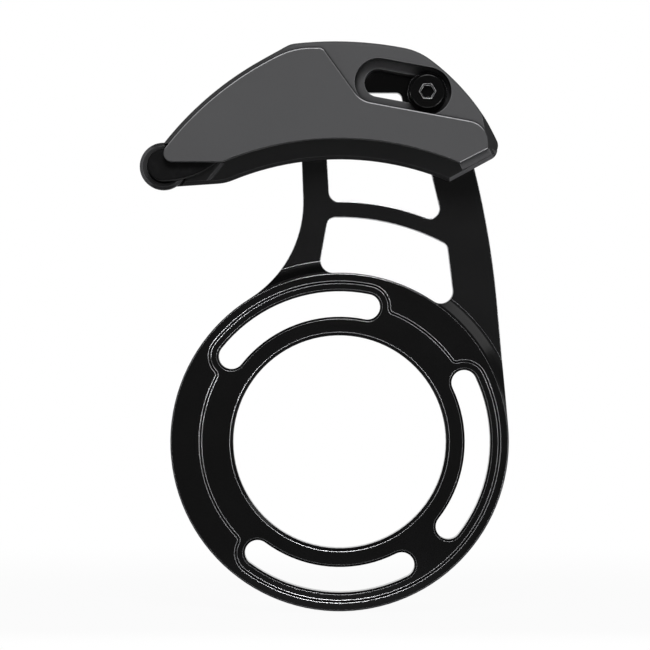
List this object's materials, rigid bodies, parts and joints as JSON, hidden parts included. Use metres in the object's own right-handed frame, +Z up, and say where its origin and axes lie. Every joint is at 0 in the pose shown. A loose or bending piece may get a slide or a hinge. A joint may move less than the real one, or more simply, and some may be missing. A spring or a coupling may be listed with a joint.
{
  "type": "bicycle chain guide",
  "caption": "Upper chain guide: a slotted mounting ring on legs carries a moulded cage that keeps a bicycle chain on a single chainring, set fore and aft by a clamp screw in a slot.",
  "frame": {"origin": "bottom bracket axis on the mounting face, which is the flat back of the bracket", "axes": "+X forward along the bicycle, +Z up, and +Y along the bottom bracket axis into the frame, so the drive side faces -Y"},
  "size_m": [0.0749, 0.018, 0.1149],
  "materials": {
    "black_anodised": "milled, satin black anodised",
    "grey_nylon": "glass-filled nylon, fine moulded texture",
    "black_nylon": "black nylon, fine moulded texture",
    "black_rubber": "soft black elastomer",
    "black_steel": "black oxide"
  },
  "bodies": {
    "bracket": {"mounting_bracket": "black_anodised", "clamp_screw": "black_steel", "clamp_washer": "black_steel"},
    "guide": {"outer_plate": "grey_nylon", "inner_plate": "black_nylon", "chain_bumper": "black_rubber", "plate_screws": "black_steel"}
  },
  "joints": [
    {"name": "guide_slide", "type": "slide", "parent": "bracket", "child": "guide", "axis": [0.9833, 0, -0.1822], "range_m": [0, 0.0098]}
  ]
}
